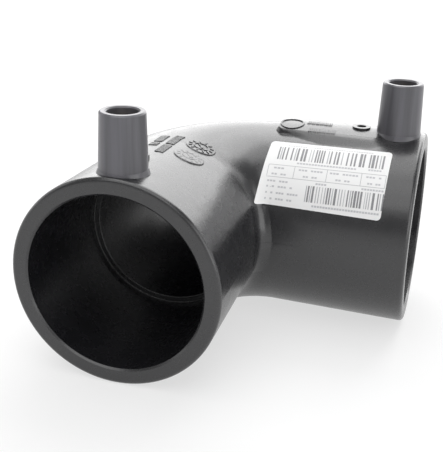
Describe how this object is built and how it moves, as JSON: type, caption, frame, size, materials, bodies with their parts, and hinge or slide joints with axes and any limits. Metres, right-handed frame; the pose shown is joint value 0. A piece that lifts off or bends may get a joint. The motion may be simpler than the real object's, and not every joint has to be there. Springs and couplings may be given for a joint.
{
  "type": "ninety degree electrofusion elbow",
  "caption": "Black polyethylene electrofusion elbow for 50 mm pipe, with two plain sockets at a right angle, upright terminal shrouds and a printed label on one socket.",
  "frame": {"origin": "where the two socket axes meet, behind the rounded bend", "axes": "+X along the right socket's axis out of its mouth, -Y along the left socket's axis out of its mouth, +Z along the terminal shrouds towards their open ends"},
  "size_m": [0.1028, 0.1028, 0.0758],
  "materials": {
    "moulding": "semi-gloss black polyethylene, softly mottled, duller on the shrouds",
    "winding": "bright copper-coloured wire, hidden in the wall",
    "pins": "turned, satin",
    "label": "white printed film, satin"
  },
  "bodies": {
    "root": {"elbow_body": "moulding", "heating_coil": "winding", "terminal_pin_left": "pins", "terminal_pin_right": "pins", "label": "label"}
  },
  "joints": []
}
